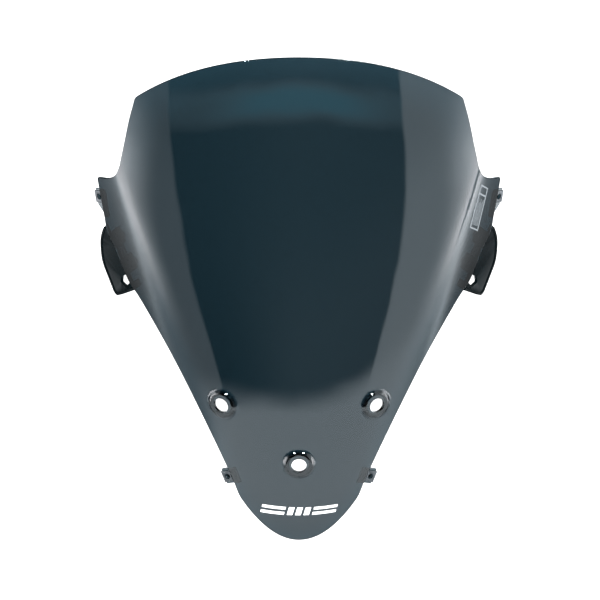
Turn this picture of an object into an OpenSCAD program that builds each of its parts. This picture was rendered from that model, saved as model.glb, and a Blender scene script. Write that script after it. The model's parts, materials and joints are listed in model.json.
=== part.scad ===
// Smoked windshield screen for a motorcycle or scooter, with its side stays and fixings.
//
// The shell is drawn in a sight frame, looking squarely at its front face:
//   x is to the right, y goes back, away from the eye, and z is up the face.
// riding() then leans everything back by rake, into the attitude that it has on the machine.
// The origin is the centre of the lower bolt hole, and the front faces -Y.

/* [Shell] */
// Thickness of the shell's wall
wall = 3; // [2.5:0.1:3.5]
// Lean from the sight frame to the riding attitude, in degrees
rake = 40; // [30:1:50]
// Height of the top edge above the lower bolt hole, along the sight frame's z
crown_h = 366; // [366:1:372]
// Drop of the lobe's tip below the lower bolt hole
lobe_drop = 69.3; // [68:0.1:71]
// Slope of the centre line at the lower bolt hole, as y per z
crown_slope = 0.58; // [0.5:0.01:0.64]
// Radius across the shell at the lower bolt hole
span_r_low = 108; // [100:1:120]
// How much larger that radius is near the top
span_r_gain = 130; // [110:1:150]

/* [Wings] */
// Half width of the front panel at the lower bolt hole, out to the wing's fold
fold_u = 83.5; // [81:0.5:86]
// Half width gained per unit of height
fold_splay = 0.306; // [0.29:0.002:0.32]
// Extra slope of the wing beyond the fold
fold_slope = 1.25; // [1.1:0.05:1.3]
// Width of the bend between panel and wing, halfway up
fold_soft = 8; // [7:0.5:10]

/* [Bolt holes] */
// Diameter of each bolt hole
hole_d = 14; // [12:0.5:15]
// Half distance between the two upper holes
hole_u = 69.2; // [67:0.1:71]
// Height of the upper holes above the lower one
hole_v = 54.3; // [52:0.1:57]
// Diameter of the flat seat round each hole
seat_d = 22.5; // [21:0.5:24]
// Height of the seat above the surface
seat_rise = 2.4; // [2:0.1:2.8]
// Diameter of the relief behind each seat
relief_d = 18; // [17:0.5:19]

/* [Side stays] */
// Thickness of the stay's plate
stay_t = 3; // [2.5:0.1:3.2]
// Thickness of the foam pad between the stay and the wing
pad_t = 1; // [0.8:0.1:1.2]
// Diameter of the hole for the grommet
eye_d = 12; // [11.5:0.5:12.5]
// Bore of the steel collar, for an M6 bolt
collar_bore_d = 6.4; // [6.2:0.1:6.6]

/* [Edge lugs] */
// Width of each lug along the edge
lug_w = 15; // [14:0.5:17]
// Thickness of each lug
lug_t = 2.5; // [2.2:0.1:2.8]
// Bore of the clip nut's barrel, for an M5 screw
clip_bore_d = 4.4; // [4.2:0.1:4.6]

/* [Hidden] */
$fn = 48;

// ---- small maths ----
function unit(a) = a / norm(a);
function smooth(x) = let (t = min(1, max(0, x))) t * t * (3 - 2 * t);
function lerp(a, b, t) = a + (b - a) * t;

// A curve through the points, steps spans between neighbours; the last point is left off.
function curve(p, steps) = [
    for (k = [0 : len(p) - 2])
        let (a = p[k], b = p[k + 1],
             ta = (k == 0) ? b - a : (b - p[k - 1]) / 2,
             tb = (k == len(p) - 2) ? b - a : (p[k + 2] - a) / 2)
        for (s = [0 : steps - 1])
            let (t = s / steps, t2 = t * t, t3 = t2 * t)
            a * (2 * t3 - 3 * t2 + 1) + ta * (t3 - 2 * t2 + t) + b * (3 * t2 - 2 * t3) + tb * (t3 - t2)
];

// A rigid placement: z along the normal, x as near as it can be to the given direction.
function placement(at, normal, along) =
    let (z = unit(normal), x = unit(along - z * (along * z)), y = cross(z, x))
    [[x[0], y[0], z[0], at[0]], [x[1], y[1], z[1], at[1]], [x[2], y[2], z[2], at[2]], [0, 0, 0, 1]];

// ---- the shell's front surface ----
function crown(v) = crown_slope * crown_h / 2.3 * (pow(max(0, 1 - v / crown_h), 2.3) - 1);
function span_r(v) = span_r_low + span_r_gain * smooth(v / 300);
function bend(v) = fold_soft * (1.6 - 1.1 * smooth(v / 270));
function fold(u, v) =
    let (d = abs(u) - fold_u - fold_splay * v) fold_slope / 2 * (d + sqrt(d * d + pow(bend(v), 2)));
function depth(u, v) = crown(v) + u * u / (2 * span_r(v)) + fold(u, v) - fold(0, 0);
function front(u, v) = [u, depth(u, v), v];
function normal(u, v) =
    unit([depth(u + 0.5, v) - depth(u - 0.5, v), -1, depth(u, v + 0.5) - depth(u, v - 0.5)]);
function below(u, v, d) = front(u, v) - d * normal(u, v);

// ---- its outline, right half, from the lobe's tip round to the crown ----
lobe_end = 52.8;
flank = [[54.7, -27.8], [64.6, -4], [94.5, 58.3], [117.5, 103.3], [143.1, 148.3], [153.5, 164],
         [160, 179], [167.3, 197], [173.6, 210], [177, 228], [182.8, 260]];
wing_top = [[182.8, 260], [173, 258.3], [166, 260.8], [162.4, 268]];
side = [[162.4, 268], [157.3, 292], [153.6, 310], [148.8, 328]];
crown_end = 146;
function lobe_v(u) = -lobe_drop + 0.0137 * u * u;
function crown_v(u) = crown_h - 0.00115 * u * u - 2.1e-8 * pow(u, 4);
outline = concat(
    [for (k = [0 : 7]) let (u = lobe_end * k / 7) [u, lobe_v(u)]],
    curve(flank, 2),
    curve(wing_top, 2),
    curve(side, 2),
    [[148.8, 328], [148.4, 330.6]],
    [for (k = [0 : 9]) let (u = crown_end * (1 - k / 9)) [u, crown_v(u)]]
);

// ---- the shell as rows that fan out from its spine to the outline ----
rows = len(outline) - 1;
cols = 10;
spine_low = -45;
spine_high = 250;
function across(j) = sin(90 * j / cols);
function grid_uv(i, j) =
    let (s = abs(across(j)), q = lerp(spine_low, spine_high, i / rows))
    [across(j) * outline[i][0], lerp(q, outline[i][1], s)];
function full_row(i) = i > 0 && i < rows;
function index(i, j) =
    (i == 0) ? abs(j)
    : (i < rows) ? (cols + 1) + (i - 1) * (2 * cols + 1) + j + cols
    : (cols + 1) + (rows - 1) * (2 * cols + 1) + abs(j);
skin_uv = [for (i = [0 : rows]) for (j = [(full_row(i) ? -cols : 0) : cols]) grid_uv(i, j)];
skin_n = len(skin_uv);

module skin() {
    // The first and last rows lie on the spine, so their cells are split away from it.
    quads = [for (i = [0 : rows - 1]) for (j = [-cols : cols - 1])
        [index(i, j), index(i, j + 1), index(i + 1, j + 1), index(i + 1, j), (j < 0) != (i == rows - 1)]];
    faces = [for (q = quads) for (t = q[4]
        ? [[q[0], q[3], q[1]], [q[1], q[3], q[2]]]
        : [[q[0], q[2], q[1]], [q[0], q[3], q[2]]]) t];
    rim = [for (i = [0 : rows - 1]) for (e = [
        [index(i, cols), index(i + 1, cols)], [index(i + 1, -cols), index(i, -cols)]]) e];
    polyhedron(
        points = concat([for (p = skin_uv) front(p[0], p[1])], [for (p = skin_uv) below(p[0], p[1], wall)]),
        faces = concat(
            faces,
            [for (f = faces) [f[2] + skin_n, f[1] + skin_n, f[0] + skin_n]],
            [for (e = rim) [e[0], e[1], e[1] + skin_n]],
            [for (e = rim) [e[0], e[1] + skin_n, e[0] + skin_n]]
        ),
        convexity = 6
    );
}

// ---- placements ----
hole_at = [[0, 0], [-hole_u, hole_v], [hole_u, hole_v]];
up = [0, 0, 1];
module riding() rotate([-rake, 0, 0]) children();
module on_left() mirror([1, 0, 0]) children();
module both_sides() for (m = [0, 1]) mirror([m, 0, 0]) children();
module on_front(u, v, along = up) multmatrix(placement(front(u, v), normal(u, v), along)) children();

// On the right wing, x runs down its edge, y out past the edge and z towards the front.
edge_top = front(176.5, 216);
edge_low = front(150, 158);
module on_wing(u, v) on_front(u, v, edge_low - edge_top) children();
stay_uv = [163, 187];
stud_uv = [[165.6, 205], [155, 181.5]];
lug_uv = [179.2, 241];
lug_along = front(177.3, 230) - front(181.1, 251);
lobe_lug_uv = [61.4, -11.2];
lobe_lug_along = front(54.7, -27.8) - front(64.6, -4);
module on_stay() on_wing(stay_uv[0], stay_uv[1]) children();
module on_studs() for (s = stud_uv) on_wing(s[0], s[1]) children();
module on_upper_lug() on_front(lug_uv[0], lug_uv[1], lug_along) children();
module on_lower_lug() on_front(lobe_lug_uv[0], lobe_lug_uv[1], lobe_lug_along) children();

// ---- shell ----
stud_d = 7;
stud_h = 3.8;
pilot_d = 3.2;
lug_root = 7;
lug_reach = 9.5;
lug_embed = 0.6;
lug_tilt = 12;
lug_web = 12;
lug_step = 0.5;  // the root's ends stand in from the tab's
lug_lap = 1;     // the root runs this far past the bend
lug_start = 0.2; // the tab starts this far past it
lug_hole_d = 5.4;
lug_hole_y = 5;
lug_back = -wall - lug_t + lug_embed;
hole_floor = seat_rise - wall;

// The part of the upper lug that stands out past the edge leans forward a little.
module leaning() translate([0, 0, lug_back]) rotate([lug_tilt, 0, 0]) translate([0, 0, -lug_back]) children();

module lower_lug() translate([-lug_w / 2, -lug_root, lug_back]) cube([lug_w, lug_root + lug_reach, lug_t]);

// Root under the edge, then the square tab with a web that runs down into the edge
module upper_lug() {
    low = -lug_w / 2;
    high = lug_w / 2;
    translate([low + lug_step, -lug_root, lug_back])
        cube([lug_w + lug_web - 2 * lug_step, lug_root + lug_lap, lug_t]);
    leaning() translate([0, 0, lug_back]) linear_extrude(lug_t)
        polygon([[low, lug_start], [low, lug_reach], [high, lug_reach], [high + lug_web, lug_lap],
                 [high + lug_web, lug_start]]);
}
module lug_hole() translate([0, lug_hole_y, lug_back - 1]) cylinder(d = lug_hole_d, h = lug_t + 2);

module screen_shell() color([0.10, 0.15, 0.18]) riding() difference() {
    union() {
        skin();
        for (h = hole_at) on_front(h[0], h[1])
            translate([0, 0, -1.5]) cylinder(d1 = seat_d + 11.5, d2 = seat_d, h = seat_rise + 1.5);
        both_sides() {
            on_studs() translate([0, 0, -wall - stud_h]) cylinder(d = stud_d, h = stud_h + 1);
            on_upper_lug() upper_lug();
            on_lower_lug() lower_lug();
        }
    }
    for (h = hole_at) on_front(h[0], h[1]) {
        translate([0, 0, hole_floor - 12]) cylinder(d = relief_d, h = 12);
        translate([0, 0, hole_floor - 1]) cylinder(d = hole_d, h = wall + 2);
    }
    both_sides() {
        on_studs() translate([0, 0, -wall - stud_h - 1]) cylinder(d = pilot_d, h = stud_h + 1.5);
        on_upper_lug() leaning() lug_hole();
        on_lower_lug() lug_hole();
    }
}

// ---- prints, as thin patches that follow the front surface ----
print_lift = 0.05;
print_t = 0.12;

// A patch over a grid of (u, v) points: nv + 1 rows from low to high, each of nu + 1 points.
module patch(uv, nu, nv) {
    n = len(uv);
    cell = function (a, b) b * (nu + 1) + a;
    top = [for (b = [0 : nv - 1]) for (a = [0 : nu - 1]) for (t = [
        [cell(a, b), cell(a + 1, b + 1), cell(a + 1, b)],
        [cell(a, b), cell(a, b + 1), cell(a + 1, b + 1)]]) t];
    rim = concat(
        [for (a = [0 : nu - 1]) [cell(a + 1, 0), cell(a, 0)]],
        [for (b = [0 : nv - 1]) [cell(nu, b + 1), cell(nu, b)]],
        [for (a = [0 : nu - 1]) [cell(a, nv), cell(a + 1, nv)]],
        [for (b = [0 : nv - 1]) [cell(0, b), cell(0, b + 1)]]
    );
    polyhedron(
        points = concat(
            [for (p = uv) below(p[0], p[1], -print_lift - print_t)],
            [for (p = uv) below(p[0], p[1], -print_lift)]
        ),
        faces = concat(
            top,
            [for (f = top) [f[2] + n, f[1] + n, f[0] + n]],
            [for (e = rim) [e[1], e[0], e[0] + n]],
            [for (e = rim) [e[1], e[0] + n, e[1] + n]]
        )
    );
}

// The emblem is a plain mark: a pair of long stripes either side of three slanted bars.
emblem_v = -42.5;
emblem_half = 34;
emblem_h = 7;
emblem_arch = 3;
stripe_h = 2.4;
bar_w = 5;
bar_pitch = 7.5;
slant = 2.2;
function arch(u, dv) = [u + slant * dv / emblem_h, emblem_v + emblem_arch * pow(u / emblem_half, 2) + dv];
module stroke(u0, u1, dv0, dv1, n) patch(
    [for (dv = [dv0, dv1]) for (k = [0 : n]) arch(lerp(u0, u1, k / n), dv)], n, 1);

module front_emblem() color([0.92, 0.94, 0.94]) riding() {
    for (k = [-1 : 1])
        stroke(k * bar_pitch - bar_w / 2, k * bar_pitch + bar_w / 2, -emblem_h / 2, emblem_h / 2, 2);
    for (e = [[-emblem_half, -1.7 * bar_pitch], [1.7 * bar_pitch, emblem_half]]) {
        stroke(e[0], e[1], emblem_h / 2 - stripe_h, emblem_h / 2, 8);
        stroke(e[0], e[1], -emblem_h / 2, stripe_h - emblem_h / 2, 8);
    }
}

// The label on the right wing is an empty frame with plain bars in it.
label_c = [[153.7, 213.6], [161.1, 210.6], [170.4, 249.4], [164.1, 252.7]];
label_line = 0.035;
label_bars = 5;
function on_label(a, b) = lerp(lerp(label_c[0], label_c[1], a), lerp(label_c[3], label_c[2], a), b);
module label_bar(a0, a1, b0, b1, nv) patch(
    [for (k = [0 : nv]) for (a = [a0, a1]) on_label(a, lerp(b0, b1, k / nv))], 1, nv);

module blank_label() color([0.72, 0.76, 0.78]) riding() {
    edge = 3 * label_line;
    label_bar(0, edge, 0, 1, 12);
    label_bar(1 - edge, 1, 0, 1, 12);
    for (b = [0, 0.78, 1 - label_line]) label_bar(edge + 0.02, 0.98 - edge, b, b + label_line, 1);
    for (k = [0 : label_bars - 1]) {
        a = lerp(0.2, 0.74, k / (label_bars - 1));
        label_bar(a, a + 0.05, 0.1, (k % 2 == 0) ? 0.7 : 0.62, 6);
    }
}

// ---- side stays ----
fit_gap = 0.15;
stay_top = -wall - pad_t - 2 * fit_gap;
stay_back = stay_top - stay_t;
tongue_w = 15;
tongue_y = -19;
hook_x = [25.5, 32];
hook_y = -9;
window = [[15.5, 10], [23.5, 10], [24, 17.5], [23, 24], [18, 29], [14.5, 23]];
window_soft = 1.2;
flange_x = [-16, 4];
flange_y = 34;
eye_x = -6;
eye_z = stay_back - 9.8;
flange_z = eye_z - eye_d / 2 - 3.5;
rim_w = 2.2;
rim_h = 1;

// Outside of the stay, from its root at the top of the wing's edge round to the hook
module stay_outline() polygon(concat(
    curve([[-33, 3], [-31, 14], [-24.5, 29], [-12, 42], [-4, 46]], 5),
    [[-4, 46], [19, 49.3]],
    [for (t = [0 : 15 : 90]) [20 + 6.5 * sin(t), 43 + 6.5 * cos(t)]],
    [[28, 36], [hook_x[1], 8], [hook_x[1], 3]]
));

module tongue(x) translate([x - tongue_w / 2, tongue_y, stay_back]) cube([tongue_w, 5 - tongue_y, stay_t]);

// Where each stud stands in the stay's own frame
stay_m = placement(front(stay_uv[0], stay_uv[1]), normal(stay_uv[0], stay_uv[1]), edge_low - edge_top);
function stay_xy(uv) =
    let (d = front(uv[0], uv[1]) - [stay_m[0][3], stay_m[1][3], stay_m[2][3]])
    [for (k = [0, 1]) d * [stay_m[0][k], stay_m[1][k], stay_m[2][k]]];
stud_xy = [for (s = stud_uv) stay_xy(s)];

module right_side_stay() color([0.05, 0.08, 0.10]) riding() on_stay() difference() {
    union() {
        translate([0, 0, stay_back]) linear_extrude(stay_t) stay_outline();
        translate([0, 0, stay_top - 0.1]) linear_extrude(rim_h + 0.1) difference() {
            stay_outline();
            offset(delta = -rim_w) stay_outline();
            translate([-40, -5]) square([80, 14]);
        }
        for (s = stud_xy) tongue(s[0]);
        translate([hook_x[0], hook_y, stay_back]) cube([hook_x[1] - hook_x[0], 14, stay_t]);
        for (y = [10 : 3 : 19]) translate([hook_x[0] - 1, y, stay_top - 0.1]) cube([5, 1.2, rim_h + 0.1]);
        translate([flange_x[0], flange_y, flange_z])
            cube([flange_x[1] - flange_x[0], stay_t, stay_back + 1 - flange_z]);
    }
    for (s = stud_xy) translate([s[0], s[1], stay_back - 1]) cylinder(d = stud_d + 0.6, h = stay_t + 2);
    translate([0, 0, stay_back - 1]) linear_extrude(stay_t + 3)
        offset(r = window_soft) offset(delta = -window_soft) polygon(window);
    translate([eye_x, flange_y - 1, eye_z]) rotate([-90, 0, 0]) cylinder(d = eye_d, h = stay_t + 2);
}

module right_stay_pads() color([0.12, 0.12, 0.12]) riding() on_studs() difference() {
    translate([-tongue_w / 2 + 1, -7, -wall - pad_t]) cube([tongue_w - 2, 13, pad_t - fit_gap]);
    translate([0, 0, -wall - pad_t - 1]) cylinder(d = stud_d + 0.6, h = pad_t + 2);
}

washer_t = 1;
head_h = 2.4;
head_z = stay_back - fit_gap - washer_t;
module on_stud_heads() riding() on_stay() for (s = stud_xy) translate([s[0], s[1], 0]) children();

module right_stay_washers() color([0.72, 0.73, 0.74]) on_stud_heads() translate([0, 0, head_z]) difference() {
    cylinder(d = 12, h = washer_t);
    translate([0, 0, -1]) cylinder(d = 4.3, h = washer_t + 2);
}

module right_stay_screws() color([0.30, 0.31, 0.32]) on_stud_heads() difference() {
    union() {
        translate([0, 0, head_z - head_h - 0.02]) cylinder(d1 = 6.4, d2 = 8, h = head_h);
        translate([0, 0, head_z - 1]) cylinder(d = pilot_d - 0.4, h = 6.4);
    }
    for (a = [0, 90]) rotate(a) translate([-2.2, -0.5, head_z - head_h - 1]) cube([4.4, 1, 2.4]);
}

// ---- grommet and collar in the stay's eye, along y ----
grommet_d = 17;
collar_d = 9;
lip_t = 2;
module in_eye() riding() on_stay() translate([eye_x, flange_y, eye_z]) rotate([-90, 0, 0]) children();

module right_grommet() color([0.09, 0.09, 0.09]) in_eye() difference() {
    union() {
        translate([0, 0, -lip_t - 0.02]) cylinder(d1 = grommet_d - 1.5, d2 = grommet_d, h = lip_t);
        translate([0, 0, -0.5]) cylinder(d = eye_d - 0.04, h = stay_t + 1);
        translate([0, 0, stay_t + 0.02]) cylinder(d1 = grommet_d, d2 = grommet_d - 1.5, h = lip_t);
    }
    translate([0, 0, -lip_t - 1]) cylinder(d = collar_d + 0.04, h = stay_t + 2 * lip_t + 2);
}

collar_h = stay_t + 2 * lip_t + 0.6;
collar_lip_t = 1.2;
module right_collar() color([0.75, 0.76, 0.77]) in_eye() difference() {
    union() {
        translate([0, 0, -lip_t - 0.04]) cylinder(d = collar_d, h = collar_h);
        translate([0, 0, -lip_t - 0.04 - collar_lip_t]) cylinder(d = 15, h = collar_lip_t);
    }
    translate([0, 0, -lip_t - collar_lip_t - 1]) cylinder(d = collar_bore_d, h = collar_h + collar_lip_t + 2);
}

// ---- clip nuts, slid over the lugs from outside ----
leaf_t = 0.8;
clip_w = 11;
clip_gap = 0.1;
barrel_d = 8;
barrel_h = 4;
clip_low = lug_back - clip_gap - leaf_t;
clip_high = lug_back + lug_t + clip_gap;
clip_out = lug_reach + clip_gap;

module clip_nut() difference() {
    union() {
        translate([-clip_w / 2, -4, clip_low]) cube([clip_w, clip_out + leaf_t + 4, leaf_t]);
        translate([-clip_w / 2, 0.8, clip_high]) cube([clip_w, clip_out + leaf_t - 0.8, leaf_t]);
        translate([-clip_w / 2, clip_out, clip_low]) cube([clip_w, leaf_t, clip_high + leaf_t - clip_low]);
        translate([0, lug_hole_y, clip_low - barrel_h]) cylinder(d = barrel_d, h = barrel_h + leaf_t / 2);
    }
    translate([0, lug_hole_y, clip_low - barrel_h - 1]) cylinder(d = clip_bore_d, h = barrel_h + leaf_t + 2);
    translate([0, lug_hole_y, clip_high - 0.5]) cylinder(d = lug_hole_d, h = leaf_t + 1);
}

module right_upper_clip_nut() color([0.62, 0.64, 0.65]) riding() on_upper_lug() leaning() clip_nut();
module right_lower_clip_nut() color([0.62, 0.64, 0.65]) riding() on_lower_lug() clip_nut();

screen_shell();
front_emblem();
blank_label();
on_left() right_side_stay();  // left_side_stay
on_left() right_stay_pads();  // left_stay_pads
on_left() right_stay_screws();  // left_stay_screws
on_left() right_stay_washers();  // left_stay_washers
on_left() right_grommet();  // left_grommet
on_left() right_collar();  // left_collar
on_left() right_upper_clip_nut();  // left_upper_clip_nut
on_left() right_lower_clip_nut();  // left_lower_clip_nut
right_side_stay();
right_stay_pads();
right_stay_screws();
right_stay_washers();
right_grommet();
right_collar();
right_upper_clip_nut();
right_lower_clip_nut();
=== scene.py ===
import json
import math

import bpy
import numpy as np
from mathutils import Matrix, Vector
from mathutils.geometry import delaunay_2d_cdt


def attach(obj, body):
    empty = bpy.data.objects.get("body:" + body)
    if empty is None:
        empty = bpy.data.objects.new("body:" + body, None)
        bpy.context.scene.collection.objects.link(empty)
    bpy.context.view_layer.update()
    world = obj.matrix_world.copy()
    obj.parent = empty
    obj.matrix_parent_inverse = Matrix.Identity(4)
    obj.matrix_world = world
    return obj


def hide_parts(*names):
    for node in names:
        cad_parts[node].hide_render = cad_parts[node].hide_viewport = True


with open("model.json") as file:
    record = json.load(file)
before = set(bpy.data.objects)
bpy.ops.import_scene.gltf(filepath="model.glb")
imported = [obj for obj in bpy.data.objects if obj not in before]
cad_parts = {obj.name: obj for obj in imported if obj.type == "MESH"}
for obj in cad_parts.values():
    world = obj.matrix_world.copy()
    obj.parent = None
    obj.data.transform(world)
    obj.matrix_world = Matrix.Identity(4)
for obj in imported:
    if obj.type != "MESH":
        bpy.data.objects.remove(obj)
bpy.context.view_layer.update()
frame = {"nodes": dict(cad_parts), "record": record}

# The shell is worked out in a sight frame, as in the CAD design: x to the right, y away from the
# eye and z up the face, in metres. A point of its front face is named by its x and z, as (u, v).
# A lean of RAKE about X then puts it in its riding attitude.
RAKE = math.radians(40)
MM = 0.001
WALL = 3 * MM


# ---- the shell's front surface ----
CROWN_H = 366 * MM
CROWN_SLOPE = 0.58
CROWN_POWER = 2.3
SPAN_R_LOW = 108 * MM
SPAN_R_GAIN = 130 * MM
SPAN_R_REACH = 300 * MM
FOLD_U = 83.5 * MM
FOLD_SPLAY = 0.306
FOLD_SLOPE = 1.25
FOLD_SOFT = 8 * MM
FOLD_SOFT_REACH = 270 * MM


def smooth(x):
    """An eased step from 0 to 1."""
    t = np.clip(x, 0, 1)
    return t * t * (3 - 2 * t)


def fold_line(v):
    """How far out the fold lies at the height v."""
    return FOLD_U + FOLD_SPLAY * v


def fold(u, v):
    """What the wing beyond the fold adds to the depth."""
    bend = FOLD_SOFT * (1.6 - 1.1 * smooth(v / FOLD_SOFT_REACH))
    d = np.abs(u) - fold_line(v)
    return FOLD_SLOPE / 2 * (d + np.sqrt(d * d + bend * bend))


def depth(u, v):
    """The front face's y."""
    left_over = np.maximum(0, 1 - v / CROWN_H)
    crown = CROWN_SLOPE * CROWN_H / CROWN_POWER * (left_over ** CROWN_POWER - 1)
    span_r = SPAN_R_LOW + SPAN_R_GAIN * smooth(v / SPAN_R_REACH)
    return crown + u * u / (2 * span_r) + fold(u, v) - fold(0.0, 0.0)


def front(uv):
    """Points of the front face."""
    return np.stack([uv[..., 0], depth(uv[..., 0], uv[..., 1]), uv[..., 1]], -1)


def unit(a):
    return a / np.linalg.norm(a, axis=-1, keepdims=True)


def normal(uv, step=0.2 * MM):
    """The front face's normals, towards the eye."""
    u, v = uv[..., 0], uv[..., 1]
    fu = (depth(u + step, v) - depth(u - step, v)) / (2 * step)
    fv = (depth(u, v + step) - depth(u, v - step)) / (2 * step)
    return unit(np.stack([fu, -np.ones_like(fu), fv], -1))


def lean(points):
    """From the sight frame to the row frame."""
    c, s = math.cos(RAKE), math.sin(RAKE)
    x, y, z = points[..., 0], points[..., 1], points[..., 2]
    return np.stack([x, y * c + z * s, z * c - y * s], -1)


# ---- the raised seats round the bolt holes ----
HOLES = [(0.0, 0.0), (-69.2 * MM, 54.3 * MM), (69.2 * MM, 54.3 * MM)]
BORE_R = 7 * MM
SEAT_RISE = 2.4 * MM
SEAT_R = 10.7 * MM
SEAT_FOOT_R = 15.9 * MM
RELIEF_R = 9 * MM
RELIEF_FOOT_R = 10 * MM
SEAT_REACH = 20 * MM
SOLVE_ROUNDS = 12


class Seat:
    """The raised seat round one bolt hole, with its own axes: two across and one out of the front."""

    def __init__(self, uv):
        self.uv = np.array(uv, float)
        self.at = front(self.uv)
        self.n = normal(self.uv)
        self.x = unit(np.cross([0, 0, 1.0], self.n))
        self.y = np.cross(self.n, self.x)

    def local(self, p):
        q = p - self.at
        return np.stack([q @ self.x, q @ self.y, q @ self.n], -1)

    def world(self, q):
        return self.at + q[..., 0:1] * self.x + q[..., 1:2] * self.y + q[..., 2:3] * self.n

    def uv_at(self, a, b):
        """The (u, v) whose front point stands over (a, b) in the seat's plane."""
        uv = np.tile(self.uv, (len(a), 1))
        for _ in range(SOLVE_ROUNDS):
            q = self.local(front(uv))
            miss = np.stack([a - q[:, 0], b - q[:, 1]], -1)
            uv = uv + miss[:, 0:1] * self.x[[0, 2]] + miss[:, 1:2] * self.y[[0, 2]]
        return uv


SEATS = [Seat(h) for h in HOLES]


def skin(uv, inner):
    """Points of the outer or the inner skin, with the seats' rise and relief."""
    outer = front(uv)
    p = outer - WALL * normal(uv) if inner else outer
    for seat in SEATS:
        over = seat.local(outer)
        q = seat.local(p)
        r = np.hypot(over[..., 0], over[..., 1])
        if inner:
            weight = 1 - smooth((r - RELIEF_R) / (RELIEF_FOOT_R - RELIEF_R))
            flat = np.stack([over[..., 0], over[..., 1], np.full_like(r, SEAT_RISE - WALL)], -1)
        else:
            weight = 1 - smooth((r - SEAT_R) / (SEAT_FOOT_R - SEAT_R))
            flat = np.stack([q[..., 0], q[..., 1], np.full_like(r, SEAT_RISE)], -1)
        near = (r < SEAT_FOOT_R)[..., None] & (np.abs(q[..., 2:3]) < SEAT_REACH)
        p = np.where(near, seat.world(q + (flat - q) * weight[..., None]), p)
    return p


def skin_normal(uv, inner, step=0.1 * MM):
    """Normals of the outer or the inner skin, out of the wall."""
    du = skin(uv + [step, 0], inner) - skin(uv - [step, 0], inner)
    dv = skin(uv + [0, step], inner) - skin(uv - [0, step], inner)
    n = unit(np.cross(du, dv))
    return -n if inner else n


# ---- the outline, in millimetres ----
LOBE_END = 52.8
LOBE_DROP = 69.3
LOBE_CURVE = 0.0137
FLANK = [(54.7, -27.8), (64.6, -4), (94.5, 58.3), (117.5, 103.3), (143.1, 148.3), (153.5, 164),
         (160, 179), (167.3, 197), (173.6, 210), (177, 228), (182.8, 260)]
WING_TOP = [(182.8, 260), (173, 258.3), (166, 260.8), (162.4, 268)]
SIDE = [(162.4, 268), (157.3, 292), (153.6, 310), (148.8, 328), (148.4, 330.6)]
CROWN_END = 146
CROWN_FALL = 0.00115
CROWN_FALL_4 = 2.1e-8
RIM_SOFTENINGS = 2


def lobe_point(u):
    """The lower edge, a parabola."""
    return u, LOBE_CURVE * u * u - LOBE_DROP


def crown_point(u):
    """The top edge."""
    return u, CROWN_H / MM - CROWN_FALL * u**2 - CROWN_FALL_4 * u**4


def curve(points, steps):
    """A smooth run through the points, without the last one."""
    p = np.array(points, float)
    out = []
    for k in range(len(p) - 1):
        a, b = p[k], p[k + 1]
        ta = b - a if k == 0 else (b - p[k - 1]) / 2
        tb = b - a if k == len(p) - 2 else (p[k + 2] - a) / 2
        for t in np.arange(steps) / steps:
            h = 2 * t**3 - 3 * t**2 + 1, t**3 - 2 * t**2 + t, 3 * t**2 - 2 * t**3, t**3 - t**2
            out.append(a * h[0] + ta * h[1] + b * h[2] + tb * h[3])
    return out


def outline(spacing):
    """The shell's whole outline as evenly spaced (u, v) points, counter-clockwise from the front."""
    lobe = [lobe_point(u) for u in np.linspace(0, LOBE_END, 24)]
    crown = [crown_point(u) for u in np.linspace(CROWN_END, 0, 40)]
    half = np.array([*lobe, *curve(FLANK, 12), *curve(WING_TOP, 8), *curve(SIDE, 6), *crown]) * MM
    whole = np.vstack([half, half[-2:0:-1] * [-1, 1]])
    closed = np.vstack([whole, whole[:1]])
    run = np.concatenate([[0], np.cumsum(np.linalg.norm(np.diff(closed, axis=0), axis=1))])
    count = 2 * round(run[-1] / spacing / 2)
    at = np.linspace(0, run[-1], count, endpoint=False)
    pts = np.stack([np.interp(at, run, closed[:, 0]), np.interp(at, run, closed[:, 1])], -1)
    for _ in range(RIM_SOFTENINGS):
        pts = (np.roll(pts, 1, 0) + 2 * pts + np.roll(pts, -1, 0)) / 4
    return pts


# ---- flat triangulation ----
def inside(points, loop):
    """Whether each point lies inside the closed loop."""
    x, y = points[:, 0:1], points[:, 1:2]
    x0, y0 = loop[:, 0], loop[:, 1]
    x1, y1 = np.roll(x0, -1), np.roll(y0, -1)
    spans = (y0 > y) != (y1 > y)
    cut = x0 + (y - y0) * (x1 - x0) / np.where(y1 == y0, 1e-12, y1 - y0)
    return (spans & (x < cut)).sum(1) % 2 == 1


def loop_edges(start, count):
    """The edges of a closed loop of points that are numbered from start."""
    return [(start + k, start + (k + 1) % count) for k in range(count)]


def triangulated(points, edges, rim, holes):
    """Triangles between rim and holes: their points, themselves, and where each given point went."""
    got = delaunay_2d_cdt([Vector(p) for p in points], edges, [], 0, 1e-9)
    flat = np.array([tuple(p) for p in got[0]])
    tris = np.array(got[2])
    centre = flat[tris].mean(1)
    keep = inside(centre, rim)
    for hole in holes:
        keep &= ~inside(centre, hole)
    tris = tris[keep]
    turn = np.cross(flat[tris[:, 1]] - flat[tris[:, 0]], flat[tris[:, 2]] - flat[tris[:, 0]])
    tris[turn < 0] = tris[turn < 0][:, ::-1]
    went = {given: k for k, originals in enumerate(got[3]) for given in originals}
    return flat, tris, went


def both_faces(tris, count):
    """Faces of an upper sheet, and of the same sheet turned over with its points count later."""
    return [tuple(t) for t in tris] + [(t[2] + count, t[1] + count, t[0] + count) for t in tris]


# ---- building the shell's mesh ----
RIM_SPACING = 1.6 * MM
EDGE_ROUND = 1.0 * MM
EDGE_STEPS = 5
BORE_ROUND = 0.4 * MM
BORE_STEPS = 3
RING_SIDES = 96
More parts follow.
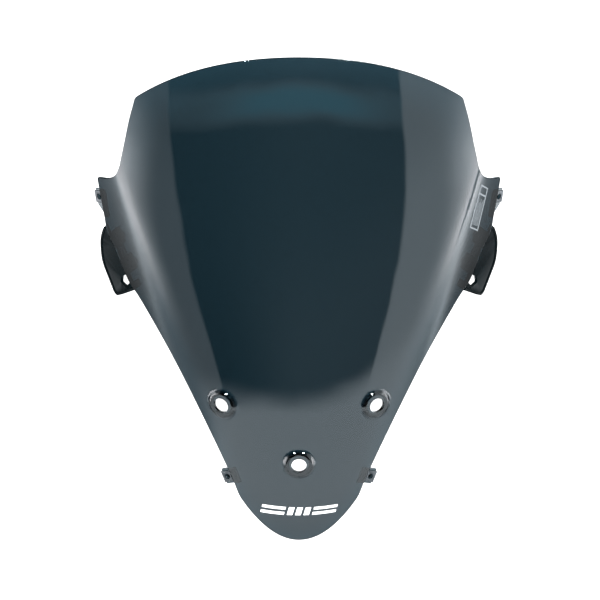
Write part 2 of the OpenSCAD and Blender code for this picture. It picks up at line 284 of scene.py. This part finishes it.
# Rings of points round each bore, from its rounded edge out past the seat's foot
RING_RADII = np.array([7.4, 8.2, 9, 9.35, 9.7, 10.05, 10.6, 11, 11.6, 12.2, 12.8, 13.4, 14, 14.6, 15.2,
                       15.8, 16.8]) * MM
RING_ANGLES = 2 * np.pi * np.arange(RING_SIDES) / RING_SIDES

# Free points lie in rows: wide apart on the panel, close across the fold, wider again past it.
ROW_RANGE = (-68 * MM, 366 * MM)
ROW_GAP = 3.2 * MM
PANEL_STEPS = 26
FOLD_BAND = (-16 * MM, 18 * MM)
FOLD_GAP = 1.3 * MM
WING_BAND = (18.5 * MM, 50 * MM)
WING_GAP = 2.4 * MM
RIM_CLEAR = 1.3 * MM
SEAT_CLEAR = 17.5 * MM


def interior_points(loop):
    """Free points of the triangulation, clear of the rim and of the seats' rings."""
    out = []
    for v in np.arange(*ROW_RANGE, ROW_GAP):
        line = fold_line(v)
        half = np.concatenate([
            np.linspace(0, line + FOLD_BAND[0], PANEL_STEPS)[:-1],
            line + np.arange(*FOLD_BAND, FOLD_GAP),
            line + np.arange(*WING_BAND, WING_GAP),
        ])
        out += [(s * u, v) for u in half[half >= 0] for s in ((1, -1) if u > 0 else (1,))]
    pts = np.array(out)
    pts = pts[inside(pts, loop)]
    gap = np.min(np.linalg.norm(pts[:, None] - loop[None], axis=2), axis=1)
    keep = gap > RIM_CLEAR
    for seat in SEATS:
        q = seat.local(front(pts))
        keep &= np.hypot(q[:, 0], q[:, 1]) > SEAT_CLEAR
    return pts[keep]


def turned_edge(radius, thickness, steps):
    """Profile of a rounded edge between the outer skin and the inner one: (outward, down, angle)."""
    out = []
    for k in range(steps + 1):
        a = math.pi / 2 * k / steps
        out.append((radius * (math.sin(a) - 1), radius * (1 - math.cos(a)), a))
    back = [(o, thickness - d, math.pi - a) for o, d, a in reversed(out)]
    return (out + back)[1:-1]


class WallMesh:
    """An outer skin, an inner skin and the rounded edges that join them."""

    def __init__(self, uv, tris):
        self.count = len(uv)
        self.verts = [skin(uv, False), skin(uv, True)]
        self.normals = [skin_normal(uv, False), skin_normal(uv, True)]
        self.total = 2 * self.count
        self.faces = both_faces(tris, self.count)

    def join(self, ids, loops, loop_normals, reverse):
        """Joins the outer skin's edge points, ids, to the inner skin's through the loops between them."""
        rows = [list(ids)]
        for loop, loop_n in zip(loops, loop_normals):
            self.verts.append(loop)
            self.normals.append(loop_n)
            rows.append(list(range(self.total, self.total + len(loop))))
            self.total += len(loop)
        rows.append([i + self.count for i in ids])
        for a, b in zip(rows, rows[1:]):
            for k in range(len(a)):
                j = (k + 1) % len(a)
                quad = (a[k], b[k], b[j], a[j])
                self.faces.append(quad[::-1] if reverse else quad)


def build_shell():
    rim = outline(RIM_SPACING)
    rim_front = front(rim)
    rim_n = normal(rim)
    along = unit(np.roll(rim_front, -1, 0) - np.roll(rim_front, 1, 0))
    out_dir = unit(np.cross(along, rim_n))
    inset = rim - EDGE_ROUND * out_dir[:, [0, 2]]

    cos, sin = np.cos(RING_ANGLES), np.sin(RING_ANGLES)
    rings = [[seat.uv_at(r * cos, r * sin) for r in RING_RADII] for seat in SEATS]
    firsts = [len(inset) + k * len(RING_RADII) * RING_SIDES for k in range(len(SEATS))]
    edges = loop_edges(0, len(inset))
    for first in firsts:
        edges += loop_edges(first, RING_SIDES)
    points = np.vstack([inset, *[ring for seat_rings in rings for ring in seat_rings],
                        interior_points(inset)])
    uv, tris, went = triangulated(points, edges, inset, [seat_rings[0] for seat_rings in rings])

    mesh = WallMesh(uv, tris)
    profile = turned_edge(EDGE_ROUND, WALL, EDGE_STEPS)
    mesh.join([went[k] for k in range(len(inset))],
              [rim_front + o * out_dir - d * rim_n for o, d, _ in profile],
              [math.cos(a) * rim_n + math.sin(a) * out_dir for _, _, a in profile], False)
    profile = turned_edge(BORE_ROUND, WALL, BORE_STEPS)
    for seat, first in zip(SEATS, firsts):
        spoke = cos[:, None] * seat.x + sin[:, None] * seat.y
        top = seat.at + SEAT_RISE * seat.n
        mesh.join([went[first + k] for k in range(RING_SIDES)],
                  [top + (BORE_R - o) * spoke - d * seat.n for o, d, _ in profile],
                  [math.cos(a) * seat.n - math.sin(a) * spoke for _, _, a in profile], True)
    return lean(np.vstack(mesh.verts)), mesh.faces, lean(unit(np.vstack(mesh.normals)))


def add_mesh(name, verts, faces, normals=None):
    """A smooth-shaded object in the scene."""
    mesh = bpy.data.meshes.new(name)
    mesh.from_pydata([tuple(v) for v in verts], [], [tuple(int(i) for i in f) for f in faces])
    mesh.validate()
    mesh.polygons.foreach_set("use_smooth", [True] * len(mesh.polygons))
    if normals is not None:
        mesh.normals_split_custom_set_from_vertices([tuple(v) for v in normals])
    mesh.update()
    obj = bpy.data.objects.new(name, mesh)
    bpy.context.scene.collection.objects.link(obj)
    return obj


# ---- node helpers ----
class Nodes:
    """Adds nodes to a tree with short calls."""

    def __init__(self, tree):
        self.tree = tree
        tree.nodes.clear()

    def add(self, kind, **settings):
        node = self.tree.nodes.new(kind)
        for key, value in settings.items():
            setattr(node, key, value)
        return node

    def link(self, source, target):
        self.tree.links.new(source, target)

    def put(self, socket, value):
        """Links an output to the socket, or sets the socket to a plain value."""
        if hasattr(value, "is_output"):
            self.link(value, socket)
        else:
            socket.default_value = value

    def math(self, op, a, b=0.0, c=0.0):
        node = self.add("ShaderNodeMath", operation=op)
        for socket, value in zip(node.inputs, (a, b, c)):
            self.put(socket, value)
        return node.outputs[0]

    def times(self, a, b):
        return self.math("MULTIPLY", a, b)

    def plus(self, a, b):
        return self.math("ADD", a, b)

    def minus(self, a, b):
        return self.math("SUBTRACT", a, b)

    def line(self, x, slope, offset):
        return self.math("MULTIPLY_ADD", x, slope, offset)

    def ramp(self, x, low, high, to_low=0.0, to_high=1.0):
        """An eased ramp: to_low where x is under low, to_high where it is over high."""
        node = self.add("ShaderNodeMapRange", interpolation_type="SMOOTHSTEP")
        for socket, value in zip(node.inputs, (x, low, high, to_low, to_high)):
            self.put(socket, value)
        return node.outputs[0]

    def blend(self, fac, a, b):
        node = self.add("ShaderNodeMix", data_type="FLOAT")
        for socket, value in zip((node.inputs[0], node.inputs[2], node.inputs[3]), (fac, a, b)):
            self.put(socket, value)
        return node.outputs[0]

    def noise(self, vector, scale, detail=4.0, rough=0.5):
        node = self.add("ShaderNodeTexNoise")
        self.link(vector, node.inputs["Vector"])
        node.inputs["Scale"].default_value = scale
        node.inputs["Detail"].default_value = detail
        node.inputs["Roughness"].default_value = rough
        return node.outputs["Fac"]

    def uneven(self, vector, scale, detail, rough, to_low=0.0, to_high=1.0):
        """Noise between two values, with its middle range spread over both."""
        return self.ramp(self.noise(vector, scale, detail, rough), 0.3, 0.7, to_low, to_high)

    def mix(self, fac, a, b):
        node = self.add("ShaderNodeMix", data_type="RGBA")
        self.put(node.inputs[0], fac)
        self.put(node.inputs[6], a)
        self.put(node.inputs[7], b)
        return node.outputs[2]

    def bump(self, height, strength, distance):
        node = self.add("ShaderNodeBump")
        self.link(height, node.inputs["Height"])
        node.inputs["Strength"].default_value = strength
        node.inputs["Distance"].default_value = distance
        return node.outputs[0]


def new_material(name):
    mat = bpy.data.materials.new(name)
    mat.use_nodes = True
    nodes = Nodes(mat.node_tree)
    out = nodes.add("ShaderNodeOutputMaterial")
    bsdf = nodes.add("ShaderNodeBsdfPrincipled")
    nodes.link(bsdf.outputs[0], out.inputs["Surface"])
    place = nodes.add("ShaderNodeTexCoord").outputs["Object"]
    return mat, nodes, bsdf, out, place


# ---- materials ----
POLYCARBONATE_IOR = 1.58
SMOKE_COLOUR = (0.055, 0.245, 0.311, 1)
SMOKE_DENSITY = 1600


def smoked_material():
    """Dark polycarbonate: clear gloss outside, blue-green smoke inside."""
    mat, n, bsdf, out, place = new_material("smoked_polycarbonate")
    bsdf.inputs["Transmission Weight"].default_value = 1.0
    bsdf.inputs["IOR"].default_value = POLYCARBONATE_IOR
    bsdf.inputs["Base Color"].default_value = (1, 1, 1, 1)
    smear = n.noise(place, 14, 5, 0.55)
    grain = n.noise(place, 900, 2, 0.5)
    n.link(n.ramp(smear, 0.35, 0.75, 0.012, 0.05), bsdf.inputs["Roughness"])
    ripple = n.line(n.noise(place, 22, 1, 0.4), 1.0, n.times(grain, 0.003))
    n.link(n.bump(ripple, 0.25, 0.0008), bsdf.inputs["Normal"])
    smoke = n.add("ShaderNodeVolumeAbsorption")
    smoke.inputs["Color"].default_value = SMOKE_COLOUR
    smoke.inputs["Density"].default_value = SMOKE_DENSITY
    n.link(smoke.outputs[0], out.inputs["Volume"])
    return mat


def plastic_material(name, colour, tint, rough_low, rough_high, grain_scale, grain_depth, gloss=0.5):
    """Moulded plastic or rubber, with uneven gloss and a fine grain."""
    mat, n, bsdf, _, place = new_material(name)
    bsdf.inputs["Specular IOR Level"].default_value = gloss
    patches = n.uneven(place, 60, 4, 0.6)
    n.link(n.mix(patches, (*colour, 1), (*tint, 1)), bsdf.inputs["Base Color"])
    n.link(n.uneven(place, 180, 5, 0.6, rough_low, rough_high), bsdf.inputs["Roughness"])
    n.link(n.bump(n.noise(place, grain_scale, 3, 0.6), 0.4, grain_depth), bsdf.inputs["Normal"])
    return mat


def metal_material(name, colour, tint, rough_low, rough_high):
    """Plated steel, with drawn streaks and dull patches."""
    mat, n, bsdf, _, place = new_material(name)
    bsdf.inputs["Metallic"].default_value = 1.0
    stretch = n.add("ShaderNodeMapping")
    stretch.inputs["Scale"].default_value = (1, 1, 12)
    n.link(place, stretch.inputs["Vector"])
    streaks = n.noise(stretch.outputs[0], 220, 4, 0.6)
    patches = n.uneven(place, 120, 4, 0.6)
    n.link(n.mix(patches, (*colour, 1), (*tint, 1)), bsdf.inputs["Base Color"])
    n.link(n.ramp(streaks, 0.3, 0.7, rough_low, rough_high), bsdf.inputs["Roughness"])
    n.link(n.bump(streaks, 0.3, 0.00005), bsdf.inputs["Normal"])
    return mat


def print_material(name, colour, worn):
    """Screen print, a little thin in places."""
    mat, n, bsdf, _, place = new_material(name)
    thin = n.ramp(n.noise(place, 700, 4, 0.65), 0.52, 0.75)
    n.link(n.mix(thin, (*colour, 1), (*worn, 1)), bsdf.inputs["Base Color"])
    n.link(n.uneven(place, 300, 3, 0.5, 0.3, 0.5), bsdf.inputs["Roughness"])
    return mat


# ---- the shell, and the looks of the CAD pieces ----
shell = add_mesh("smoked_shell_panel", *build_shell())
shell.data.materials.append(smoked_material())
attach(shell, "root")
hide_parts("screen_shell")

MATERIALS = {
    "white_print": print_material("white_print", (0.86, 0.88, 0.88), (0.62, 0.66, 0.67)),
    "label_print": print_material("label_print", (0.17, 0.19, 0.205), (0.08, 0.095, 0.105)),
    "stay_plastic": plastic_material("stay_plastic", (0.0009, 0.0022, 0.0028), (0.0016, 0.0036, 0.0044),
                                     0.16, 0.28, 1500, 0.00002, 0.05),
    "foam_pad": plastic_material("foam_pad", (0.02, 0.02, 0.022), (0.035, 0.035, 0.037),
                                 0.8, 0.95, 1800, 0.0002),
    "grommet_rubber": plastic_material("grommet_rubber", (0.012, 0.012, 0.012), (0.022, 0.022, 0.022),
                                       0.5, 0.7, 1200, 0.00008),
    "black_steel": metal_material("black_steel", (0.05, 0.05, 0.055), (0.09, 0.09, 0.095), 0.3, 0.5),
    "zinc_steel": metal_material("zinc_steel", (0.62, 0.63, 0.66), (0.48, 0.50, 0.52), 0.22, 0.42),
    "spring_steel": metal_material("spring_steel", (0.13, 0.135, 0.14), (0.07, 0.075, 0.08), 0.35, 0.55),
}
BEVELS = {"stay_plastic": 0.45 * MM, "foam_pad": 0.15 * MM, "grommet_rubber": 0.4 * MM,
          "black_steel": 0.12 * MM, "zinc_steel": 0.12 * MM, "spring_steel": 0.1 * MM}
WELD_GAP = 0.002 * MM
BEVEL_ANGLE = math.radians(35)


def soften_edges(node, width):
    """Welds a CAD node's seams and rounds its edges."""
    weld = node.modifiers.new("weld", "WELD")
    weld.merge_threshold = WELD_GAP
    bevel = node.modifiers.new("bevel", "BEVEL")
    bevel.width = width
    bevel.segments = 3
    bevel.limit_method = "ANGLE"
    bevel.angle_limit = BEVEL_ANGLE
    bevel.harden_normals = True
    node.data.polygons.foreach_set("use_smooth", [True] * len(node.data.polygons))


slots = {s["node"]: s["material_slot"] for s in frame["record"]["subparts"]}
for name, node in frame["nodes"].items():
    slot = slots[name]
    if slot in MATERIALS:
        node.data.materials.clear()
        node.data.materials.append(MATERIALS[slot])
    if slot in BEVELS:
        soften_edges(node, BEVELS[slot])


# ---- lugs and pillars of the shell ----
LUG_W = 15 * MM
LUG_T = 2.5 * MM
LUG_ROOT = 6.5 * MM
LUG_REACH = 9.5 * MM
LUG_EMBED = 0.6 * MM
LUG_BACK = LUG_EMBED - WALL - LUG_T
LUG_WEB = 12 * MM
LUG_WEB_ROOT = 0.85
LUG_TILT = math.radians(12)
LUG_HOLE_Y = 5 * MM
LUG_HOLE_R = 2.7 * MM
LUG_HOLE_SIDES = 36
PILLAR_TOP = -2.2 * MM
PILLAR_SHOULDER = -3.4 * MM
PILLAR_LOW = -6.8 * MM
PILLAR_FOOT_R = 4.1 * MM
PILLAR_R = 3.5 * MM
PILOT_R = 1.6 * MM
PILLAR_CHAMFER = 0.3 * MM
PILLAR_SIDES = 40
DETAIL_BEVEL = 0.3 * MM


def placement(uv, high, low):
    """A place on the right half of the front, given in mm, with z out of it and x from high to low."""
    at, z = front(np.array(uv) * MM), normal(np.array(uv) * MM)
    along = front(np.array(low) * MM) - front(np.array(high) * MM)
    x = unit(along - z * (along @ z))
    return at, np.stack([x, np.cross(z, x), z])


WING_EDGE = (176.5, 216), (150, 158)
LUG_PLACES = {
    "upper": (placement((179.2, 241), (181.1, 251), (177.3, 230)), LUG_TILT, LUG_WEB),
    "lower": (placement((61.4, -11.2), (64.6, -4), (54.7, -27.8)), 0.0, 0.0),
}
PILLAR_PLACES = {
    "upper": placement((165.6, 205), *WING_EDGE),
    "lower": placement((155, 181.5), *WING_EDGE),
}


def plate(points, tris, z_low, z_high):
    """A flat triangulation made into a closed plate: its points and its faces."""
    n = len(points)
    verts = np.vstack([np.column_stack([points, np.full(n, z)]) for z in (z_high, z_low)])
    sides = {(a, b) for t in tris for a, b in zip(t, (t[1], t[2], t[0]))}
    rim = [(a, b) for a, b in sides if (b, a) not in sides]
    return verts, both_faces(tris, n) + [(b, a, a + n, b + n) for a, b in rim]


def lug_mesh(tilt, web):
    """Flat plate with a hole and a web, its outer part tilted forward about the line y = 0."""
    half = LUG_W / 2
    corners = np.array([(-half, -LUG_ROOT), (half + LUG_WEB_ROOT * web, -LUG_ROOT), (half + web, 0),
                        (half, LUG_REACH), (-half, LUG_REACH), (-half, 0)])
    turns = np.linspace(0, 2 * math.pi, LUG_HOLE_SIDES, endpoint=False)
    hole = np.column_stack([LUG_HOLE_R * np.cos(turns), LUG_HOLE_Y + LUG_HOLE_R * np.sin(turns)])
    bend_line = [(5, 2)]
    edges = loop_edges(0, len(corners)) + bend_line + loop_edges(len(corners), LUG_HOLE_SIDES)
    flat, tris, _ = triangulated(np.vstack([corners, hole]), edges, corners, [hole])
    verts, faces = plate(flat, tris, LUG_BACK, LUG_BACK + LUG_T)
    out = verts[:, 1] > 0
    y, z = verts[out, 1], verts[out, 2] - LUG_BACK
    verts[out, 1] = y * math.cos(tilt) - z * math.sin(tilt)
    verts[out, 2] = y * math.sin(tilt) + z * math.cos(tilt) + LUG_BACK
    return verts, faces


def pillar_mesh():
    """A short pillar with a pilot bore, turned from its profile."""
    profile = [(PILOT_R, PILLAR_TOP), (PILOT_R, PILLAR_LOW + PILLAR_CHAMFER),
               (PILOT_R + PILLAR_CHAMFER, PILLAR_LOW), (PILLAR_R - PILLAR_CHAMFER, PILLAR_LOW),
               (PILLAR_R, PILLAR_LOW + PILLAR_CHAMFER), (PILLAR_R, PILLAR_SHOULDER),
               (PILLAR_FOOT_R, PILLAR_TOP)]
    rows = len(profile)
    turns = np.linspace(0, 2 * math.pi, PILLAR_SIDES, endpoint=False)
    verts = [(r * math.cos(a), r * math.sin(a), z) for a in turns for r, z in profile]
    faces = []
    for i in range(PILLAR_SIDES):
        a, b = i * rows, (i + 1) % PILLAR_SIDES * rows
        faces += [(a + k, a + (k + 1) % rows, b + (k + 1) % rows, b + k) for k in range(rows)]
    return np.array(verts), [f[::-1] for f in faces]


def shell_detail(name, mesh, place, side):
    """Puts a moulded detail on the right half of the shell (side 1), or on the left half (side -1)."""
    verts, faces = mesh
    at, axes = place
    points = lean(at + verts @ axes) * [side, 1, 1]
    obj = add_mesh(name, points, faces if side > 0 else [f[::-1] for f in faces])
    obj.data.materials.append(moulding)
    bevel = obj.modifiers.new("bevel", "BEVEL")
    bevel.width = DETAIL_BEVEL
    bevel.segments = 2
    bevel.limit_method = "ANGLE"
    bevel.harden_normals = True
    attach(obj, "root")


moulding = plastic_material("smoked_moulding", (0.010, 0.020, 0.025), (0.016, 0.028, 0.034),
                            0.12, 0.25, 1200, 0.00002)
for side_name, side in (("left", -1), ("right", 1)):
    for where_name, (place, tilt, web) in LUG_PLACES.items():
        shell_detail(f"{side_name}_{where_name}_lug", lug_mesh(tilt, web), place, side)
    for where_name, place in PILLAR_PLACES.items():
        shell_detail(f"{side_name}_{where_name}_pillar", pillar_mesh(), place, side)


# ---- stage ----
FLOOR_Z = -0.27
FLOOR_HALF = 9
FLOOR_EMISSION = 0.33


def pale_floor():
    corners = [(x * FLOOR_HALF, y * FLOOR_HALF, FLOOR_Z) for x, y in ((-1, -1), (1, -1), (1, 1), (-1, 1))]
    floor = add_mesh("floor", corners, [(0, 1, 2, 3)])
    mat, n, bsdf, _, place = new_material("pale_floor")
    tone = n.ramp(n.noise(place, 3, 3, 0.5), 0.2, 0.8)
    n.link(n.mix(tone, (0.86, 0.86, 0.86, 1), (0.88, 0.88, 0.88, 1)), bsdf.inputs["Base Color"])
    bsdf.inputs["Roughness"].default_value = 0.9
    bsdf.inputs["Specular IOR Level"].default_value = 0.0
    bsdf.inputs["Emission Color"].default_value = (1, 1, 1, 1)
    bsdf.inputs["Emission Strength"].default_value = FLOOR_EMISSION
    floor.data.materials.append(mat)
    floor.visible_glossy = False


# What the gloss reflects is a white tent, dark through its open front, with a softbox each side and
# two small lamps. Its brightness goes by direction, in degrees of turn from the front and of rise.
# A ramp is given as (start, end) or as (start, end, value before, value after).
LEFT_WALL = (6, 24, 0.72, 0.5)
RIGHT_WALL = (6, 24, 1.7, 1.3)
FLOOR_LINE = -10.5
FLOOR_LINE_FALL = (-0.0043, -0.0032)
FLOOR_EDGE = (-2.4, 2.4)
FLOOR_GLOW = (-38, -26, 1.15, 2.1)
TOP_GLOW = (54, 64, 0, 2.0)

SHADE_NEAR = (98, 114)
SHADE_FAR = (140, 158, 1, 0)
SHADE_LOW = (-64, -52)
SHADE_DEPTH = 0.97

SOFTBOX = 5.6
SOFTBOX_NEAR = (57, 75)
SOFTBOX_FAR = (86, 122, 1, 0)
SOFTBOX_FOOT = 8.2
SOFTBOX_FOOT_FALL = -0.42
SOFTBOX_FOOT_EDGE = (-8, 8)
SOFTBOX_TOP = (3, 20, 1, 0)
# The post stands in front of the right softbox and ends above its foot.
POST_TURN = 83.5
POST_EDGE = (3.5, 6.5)
POST_FOOT = (-25, -21, 1, 0)
POST_LIGHT = 0.03

OPENING_LEFT = 50.0
OPENING_LEFT_SPLAY = 0.019
OPENING_RIGHT = 45.5
OPENING_RIGHT_SPLAY = 0.005
OPENING_EDGE = (-1.0, 1.0, 1, 0)
OPENING_LIGHT = (-44, 6, 0.01, 0.2)
OPENING_LIGHT_RISE = (-4, 28, 1, 0.4)

BAND_RISE = 37.4
BAND_SAG = -0.0050
BAND_LOW = (-3.4, -0.6)
BAND_HIGH = (0.4, 2.6, 1, 0)
BAND_LIGHT = (20, 52, 0.9, 0.4)

LAMP_WAYS = [(-34, 46.5), (34, 46.5)]
LAMP_SIZE = 6.0
LAMP_CORE = 0.6
LAMP_LIGHT = 70.0

TENT_TINT = (0.90, 1.0, 1.06, 1)
SOFTBOX_TINT = (1.0, 1.0, 1.03, 1)
BAND_TINT = (0.25, 0.82, 1.1, 1)
PLAIN_LIGHT = 0.95


class Way:
    """A direction from the object: its signed and plain turn from the front, and its rise."""

    def __init__(self, n, x, y, z):
        self.signed = n.math("DEGREES", n.math("ARCTAN2", x, n.times(y, -1.0)))
        self.turn = n.math("ABSOLUTE", self.signed)
        self.turn_squared = n.times(self.turn, self.turn)
        self.rise = n.math("DEGREES", n.math("ARCSINE", z))
        self.right = n.ramp(x, -0.02, 0.02)


def tent_walls(n, way):
    """Walls above a curved floor line, floor and top: their light, and how far above the line."""
    fall = n.blend(way.right, *FLOOR_LINE_FALL)
    floor_line = n.line(way.turn_squared, fall, FLOOR_LINE)
    above = n.ramp(n.minus(way.rise, floor_line), *FLOOR_EDGE)
    wall = n.blend(way.right, n.ramp(way.rise, *LEFT_WALL), n.ramp(way.rise, *RIGHT_WALL))
    light = n.blend(above, n.ramp(way.rise, *FLOOR_GLOW), wall)
    light = n.plus(light, n.ramp(way.rise, *TOP_GLOW))
    shade = n.times(n.ramp(way.turn, *SHADE_NEAR), n.ramp(way.turn, *SHADE_FAR))
    shade = n.times(shade, n.ramp(way.rise, *SHADE_LOW))
    return n.times(light, n.line(shade, -SHADE_DEPTH, 1.0)), above


def softboxes(n, way):
    """The softboxes' share of each direction, with a dark post in front of the right one."""
    box = n.times(n.ramp(way.turn, *SOFTBOX_NEAR), n.ramp(way.turn, *SOFTBOX_FAR))
    foot = n.line(way.turn, SOFTBOX_FOOT_FALL, SOFTBOX_FOOT)
    box = n.times(box, n.ramp(n.minus(way.rise, foot), *SOFTBOX_FOOT_EDGE))
    box = n.times(box, n.ramp(way.rise, *SOFTBOX_TOP))
    off_post = n.ramp(n.math("ABSOLUTE", n.minus(way.signed, POST_TURN)), *POST_EDGE)
    clear = n.plus(n.plus(off_post, n.ramp(way.rise, *POST_FOOT)), POST_LIGHT)
    return n.times(box, n.math("MINIMUM", clear, 1.0))


def open_front(n, way):
    """The share of each direction that looks out through the open front, and the light there."""
    high = n.math("MAXIMUM", way.rise, 0.0)
    high = n.times(high, high)
    left = n.line(high, OPENING_LEFT_SPLAY, OPENING_LEFT)
    right = n.line(high, OPENING_RIGHT_SPLAY, OPENING_RIGHT)
    share = n.ramp(n.minus(way.turn, n.blend(way.right, left, right)), *OPENING_EDGE)
    light = n.times(n.ramp(way.signed, *OPENING_LIGHT), n.ramp(way.rise, *OPENING_LIGHT_RISE))
    return share, light


def crown_band(n, way, opening):
    """The sagging bluish band high in the opening."""
    line = n.minus(way.rise, n.line(way.turn_squared, BAND_SAG, BAND_RISE))
    band = n.times(n.ramp(line, *BAND_LOW), n.ramp(line, *BAND_HIGH))
    return n.times(n.times(band, opening), n.ramp(way.turn, *BAND_LIGHT))


def lamps(n, vector):
    """The two small lamps, as round spots."""
    total = 0.0
    for turn, rise in LAMP_WAYS:
        a, e = math.radians(turn), math.radians(rise)
        dot = n.add("ShaderNodeVectorMath", operation="DOT_PRODUCT")
        n.link(vector, dot.inputs[0])
        dot.inputs[1].default_value = (math.cos(e) * math.sin(a), -math.cos(e) * math.cos(a), math.sin(e))
        edge = math.cos(math.radians(LAMP_SIZE))
        core = math.cos(math.radians(LAMP_CORE * LAMP_SIZE))
        total = n.plus(n.ramp(dot.outputs["Value"], edge, core, 0, LAMP_LIGHT), total)
    return total


def studio_world():
    """Even pale light, with the tent for reflections."""
    world = bpy.data.worlds.new("studio")
    bpy.context.scene.world = world
    world.use_nodes = True
    world.cycles.sampling_method = "NONE"
    n = Nodes(world.node_tree)
    out = n.add("ShaderNodeOutputWorld")
    vector = n.add("ShaderNodeTexCoord").outputs["Generated"]
    split = n.add("ShaderNodeSeparateXYZ")
    n.link(vector, split.inputs[0])
    way = Way(n, *split.outputs)
    light, above = tent_walls(n, way)
    box = softboxes(n, way)
    light = n.line(box, SOFTBOX, light)
    opening, dim = open_front(n, way)
    light = n.blend(n.times(opening, above), light, dim)
    band = crown_band(n, way, opening)
    light = n.plus(n.plus(light, band), lamps(n, vector))

    plain = n.add("ShaderNodeBackground")
    plain.inputs["Color"].default_value = (1, 1, 1, 1)
    plain.inputs["Strength"].default_value = PLAIN_LIGHT
    tented = n.add("ShaderNodeBackground")
    n.link(n.mix(band, n.mix(box, TENT_TINT, SOFTBOX_TINT), BAND_TINT), tented.inputs["Color"])
    n.link(light, tented.inputs["Strength"])
    mix = n.add("ShaderNodeMixShader")
    n.link(n.add("ShaderNodeLightPath").outputs["Is Glossy Ray"], mix.inputs[0])
    n.link(plain.outputs[0], mix.inputs[1])
    n.link(tented.outputs[0], mix.inputs[2])
    n.link(mix.outputs[0], out.inputs[0])


# The sun and the camera both look squarely at the shell's front, so the shadow hides behind it.
FRONT_VIEW = (math.radians(90) - RAKE, 0, 0)
KEY_LIGHT = 6.0
KEY_SPREAD = math.radians(3)
AIM = lean(np.array([0.9 * MM, -30 * MM, 148.5 * MM]))
CAMERA_DISTANCE = 12.0
CAMERA_REACH = 60
FIELD = 0.54
SENSOR = 36


def key_light():
    """Lights the floor and the pieces. It isn't seen in reflections."""
    light = bpy.data.lights.new("key", "SUN")
    light.energy = KEY_LIGHT
    light.angle = KEY_SPREAD
    obj = bpy.data.objects.new("key", light)
    bpy.context.scene.collection.objects.link(obj)
    obj.rotation_euler = FRONT_VIEW
    obj.visible_glossy = False
    obj.visible_transmission = False


def add_camera():
    camera = bpy.data.cameras.new("camera")
    camera.sensor_width = SENSOR
    camera.lens = SENSOR * CAMERA_DISTANCE / FIELD
    camera.clip_end = CAMERA_REACH
    obj = bpy.data.objects.new("camera", camera)
    bpy.context.scene.collection.objects.link(obj)
    back = lean(np.array([0, -1.0, 0]))
    obj.location = Vector(AIM + CAMERA_DISTANCE * back)
    obj.rotation_euler = FRONT_VIEW
    bpy.context.scene.camera = obj


add_camera()
pale_floor()
studio_world()
key_light()
bpy.context.scene.view_settings.view_transform = "Standard"
